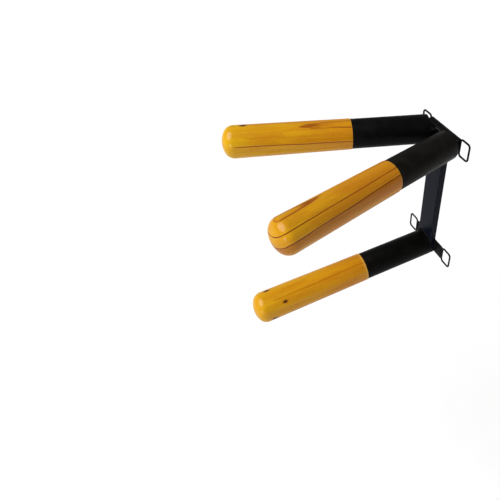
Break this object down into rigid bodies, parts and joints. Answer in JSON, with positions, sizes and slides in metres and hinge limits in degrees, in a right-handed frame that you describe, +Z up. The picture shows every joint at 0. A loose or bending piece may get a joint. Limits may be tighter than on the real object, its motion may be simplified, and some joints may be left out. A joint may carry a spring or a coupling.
{
  "type": "wooden wing dummy",
  "caption": "Strap-on arm set for a punching bag: varnished wooden arms with domed tips, driven into steel sockets on a welded upright frame with strap loops.",
  "frame": {"origin": "centre of the upper strap bar's back face, which lies on the bag", "axes": "+X to the right as the trainee sees it, +Y into the bag (the arms point to -Y), +Z up"},
  "size_m": [0.3548, 0.4335, 0.3881],
  "materials": {
    "varnished_pine": "gloss varnish",
    "socket_steel": "satin black paint",
    "frame_steel": "satin black paint",
    "loop_wire": "satin black paint",
    "weld_metal": "painted weld bead"
  },
  "bodies": {
    "root": {"upper_strap_bar": "frame_steel", "lower_strap_bar": "frame_steel", "upright_tube": "frame_steel", "upright_end_plate": "frame_steel", "cross_tube": "frame_steel", "cross_tube_right_end_plate": "frame_steel", "cross_tube_left_end_plate": "frame_steel", "upper_right_base_disc": "frame_steel", "upper_left_base_disc": "frame_steel", "lower_base_disc": "frame_steel", "upper_right_wedge_top": "frame_steel", "upper_left_wedge_top": "frame_steel", "upper_right_wedge_bottom": "frame_steel", "upper_left_wedge_bottom": "frame_steel", "upper_right_strap_loop": "loop_wire", "upper_left_strap_loop": "loop_wire", "lower_right_strap_loop": "loop_wire", "lower_left_strap_loop": "loop_wire", "upper_bar_welds": "weld_metal", "lower_bar_welds": "weld_metal", "tee_welds": "weld_metal", "upper_socket_welds": "weld_metal", "lower_socket_welds": "weld_metal", "upper_right_loop_weld": "weld_metal", "upper_left_loop_weld": "weld_metal", "lower_right_loop_weld": "weld_metal", "lower_left_loop_weld": "weld_metal", "upper_right_socket": "socket_steel", "upper_left_socket": "socket_steel", "lower_socket": "socket_steel", "upper_right_wooden_arm": "varnished_pine", "upper_left_wooden_arm": "varnished_pine", "lower_wooden_arm": "varnished_pine"}
  },
  "joints": []
}
